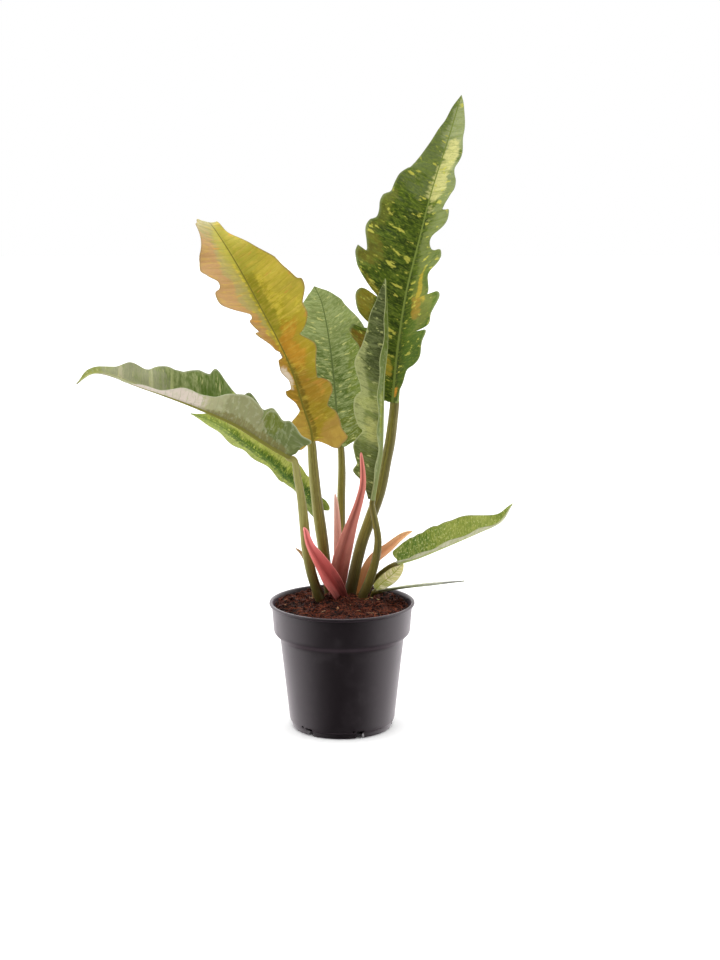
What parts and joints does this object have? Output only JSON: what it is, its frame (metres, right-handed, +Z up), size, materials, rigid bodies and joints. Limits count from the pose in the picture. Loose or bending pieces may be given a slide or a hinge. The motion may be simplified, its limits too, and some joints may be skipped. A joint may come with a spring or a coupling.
{
  "type": "potted philodendron",
  "caption": "Potted aroid house plant with long serrated marbled leaves and pink bud sheaths, standing in a round black nursery pot.",
  "frame": {"origin": "centre of the flat pad under the pot, on the pot's axis, where the pot stands", "axes": "+Z up along the pot's axis, -Y towards the side that the plant shows to the front, +X to that viewer's right"},
  "size_m": [0.3487, 0.152, 0.521],
  "materials": {
    "leaf_stem": "smooth waxy olive green, darker at the foot, with fine lighter stripes",
    "blade_tall": "satin dark green, flecked and streaked with yellow and cream, orange at the foot",
    "blade_caramel": "satin yellow-olive and caramel orange, paler pinkish tan on the far half",
    "blade_back": "satin grey-green, marbled with cream",
    "blade_folded": "satin grey-green above, marbled with pale yellow below",
    "blade_left": "satin green marbled above, pale pinkish grey-green below",
    "blade_yellow": "satin bright yellow-green, marbled with dark green",
    "blade_right": "satin bright yellow-green with fine specks",
    "blade_pale": "satin pale yellow-green",
    "blade_edge": "satin grey-green",
    "sheath_front": "smooth rose pink, red-brown at the foot",
    "sheath_tall": "smooth pink with a dark red fold line",
    "sheath_thin": "smooth salmon",
    "sheath_orange": "smooth peach orange",
    "sheath_small": "smooth tan",
    "growing_mix": "rough, moist, dark red-brown coir and bark",
    "pot": "satin black moulded polypropylene"
  },
  "bodies": {
    "root": {"stem_tall": "leaf_stem", "blade_tall": "blade_tall", "stem_caramel": "leaf_stem", "blade_caramel": "blade_caramel", "stem_back": "leaf_stem", "blade_back": "blade_back", "stem_folded": "leaf_stem", "blade_folded": "blade_folded", "stem_left": "leaf_stem", "blade_left": "blade_left", "stem_yellow": "leaf_stem", "blade_yellow": "blade_yellow", "stem_right": "leaf_stem", "blade_right": "blade_right", "stem_pale": "leaf_stem", "blade_pale": "blade_pale", "stem_edge": "leaf_stem", "blade_edge": "blade_edge", "sheath_front": "sheath_front", "sheath_tall": "sheath_tall", "sheath_thin": "sheath_thin", "sheath_orange": "sheath_orange", "sheath_small": "sheath_small", "growing_mix": "growing_mix", "pot": "pot"}
  },
  "joints": []
}
